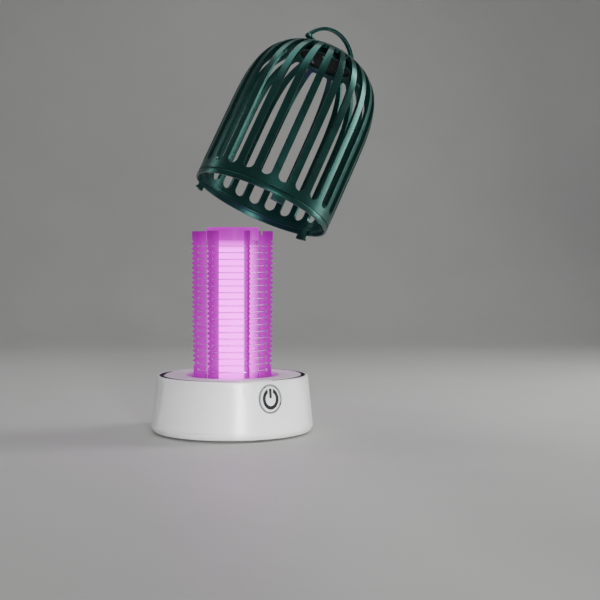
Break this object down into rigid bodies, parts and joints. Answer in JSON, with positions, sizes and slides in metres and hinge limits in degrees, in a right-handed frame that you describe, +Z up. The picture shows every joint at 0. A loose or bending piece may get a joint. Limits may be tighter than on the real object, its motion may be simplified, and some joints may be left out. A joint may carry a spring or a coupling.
{
  "type": "electric bug zapper",
  "caption": "Electric bug zapper: round base with a glowing high-voltage grid tower, push button and charge socket, and a twist-lock birdcage guard with a folding handle, shown lifted off.",
  "frame": {"origin": "centre of the base on the table plane, on the underside of the middle rubber foot", "axes": "+Z up through the tower, -Y out through the front (the power button sits 4 degrees round from it towards +X), +Y out through the charge socket, +X towards the side the lifted guard leans to"},
  "size_m": [0.1887, 0.13, 0.3331],
  "materials": {
    "white_shell": "satin white moulding",
    "white_deck": "satin white moulding",
    "grey_plastic": "matte dark grey",
    "cover_plastic": "matte light grey",
    "rubber": "soft black",
    "screw_steel": "plain steel",
    "tower_base": "violet translucent plastic in the lamp's light",
    "lamp_glow": "frosted tube glowing pink-violet",
    "board_green": "circuit board",
    "led_lens": "lit ultraviolet lamp chips",
    "rib_violet": "translucent plastic lit magenta",
    "grid_wire": "plain bright wire",
    "transformer": "dark core and tape",
    "capacitor": "dipped film capacitors",
    "battery_wrap": "plain shrink wrap",
    "black_plastic": "matte black",
    "socket_steel": "drawn steel",
    "bezel_grey": "satin grey ring",
    "button_white": "satin white",
    "symbol_black": "black print",
    "guard_green": "satin dark green",
    "cap_black": "gloss black",
    "handle_green": "satin dark green"
  },
  "bodies": {
    "base": {"base_shell": "white_shell", "top_deck": "white_deck", "lock_ring": "grey_plastic", "bottom_cover": "cover_plastic", "rubber_feet": "rubber", "cover_screws": "screw_steel", "tower_flange": "tower_base", "lamp_tube": "lamp_glow", "lamp_board": "board_green", "lamp_leds": "led_lens", "grid_rib_1": "rib_violet", "grid_rib_2": "rib_violet", "grid_rib_3": "rib_violet", "grid_rib_4": "rib_violet", "grid_rib_5": "rib_violet", "grid_rib_6": "rib_violet", "grid_top_cap": "rib_violet", "live_wire": "grid_wire", "return_wire": "grid_wire", "control_board": "board_green", "hv_transformer": "transformer", "hv_capacitors": "capacitor", "battery_cell": "battery_wrap", "battery_holder": "black_plastic", "switch_board": "board_green", "push_switch": "black_plastic", "charge_socket": "socket_steel", "button_bezel": "bezel_grey"},
    "button": {"power_button": "button_white", "power_symbol": "symbol_black"},
    "guard": {"cage_body": "guard_green", "inner_cap": "cap_black", "cap_screws": "screw_steel", "handle_pivots": "guard_green"},
    "handle_arch": {"handle": "handle_green"},
    "collar": {"lock_collar": "guard_green"}
  },
  "joints": [
    {"name": "cage_lift", "type": "hinge", "parent": "base", "child": "guard", "pos_m": [0.3107, 0, 0.0592], "axis": [0, 1, 0], "range_deg": [-26.5, 0]},
    {"name": "collar_twist", "type": "hinge", "parent": "guard", "child": "collar", "pos_m": [0.02519, 0, 0.18289], "axis": [0.4462, 0, 0.8949], "range_deg": [0, 15]},
    {"name": "handle_fold", "type": "hinge", "parent": "guard", "child": "handle_arch", "pos_m": [0.08967, 0, 0.31221], "axis": [0.877, 0.1994, -0.4372], "range_deg": [-75, 75]},
    {"name": "button_press", "type": "slide", "parent": "base", "child": "button", "axis": [-0.0694, 0.9921, -0.1046], "range_m": [0, 0.001], "stiffness_N_per_m": 300, "springref_m": -0.0005}
  ]
}
